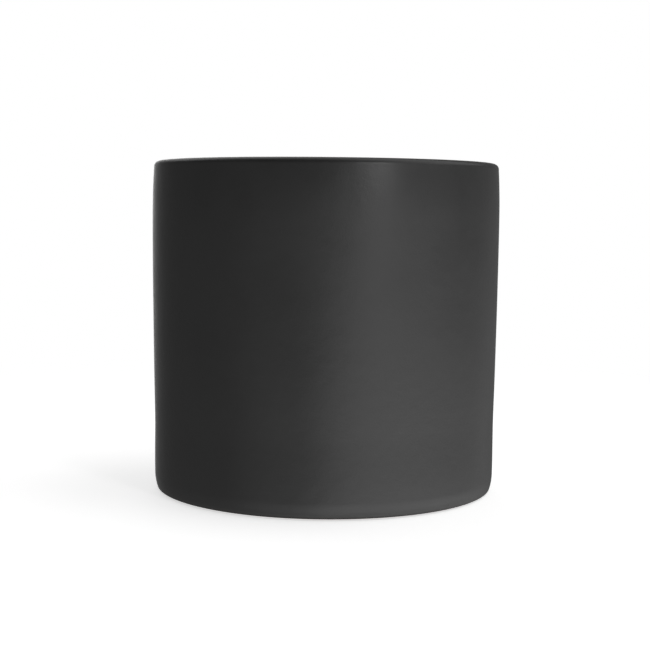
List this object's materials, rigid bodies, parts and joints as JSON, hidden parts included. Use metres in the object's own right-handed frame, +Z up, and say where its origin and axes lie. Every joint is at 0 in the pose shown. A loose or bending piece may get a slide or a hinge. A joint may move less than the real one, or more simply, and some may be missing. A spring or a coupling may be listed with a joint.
{
  "type": "candle jar",
  "caption": "Straight-sided black ceramic candle vessel, open at the top, with a rounded lip, a rounded toe and a bare clay foot ring.",
  "frame": {"origin": "centre of the foot ring's resting face, on the vessel's axis of revolution", "axes": "+Z up along the axis of revolution, out of the mouth; X and Y are level, and the vessel is the same all the way round"},
  "size_m": [0.09, 0.09, 0.085],
  "materials": {
    "bare_stoneware": "matte",
    "matte_black_glaze": "satin",
    "liner_glaze": "gloss"
  },
  "bodies": {
    "root": {"stoneware_body": "bare_stoneware", "outer_glaze": "matte_black_glaze", "liner_glaze": "liner_glaze", "base_glaze": "matte_black_glaze"}
  },
  "joints": []
}
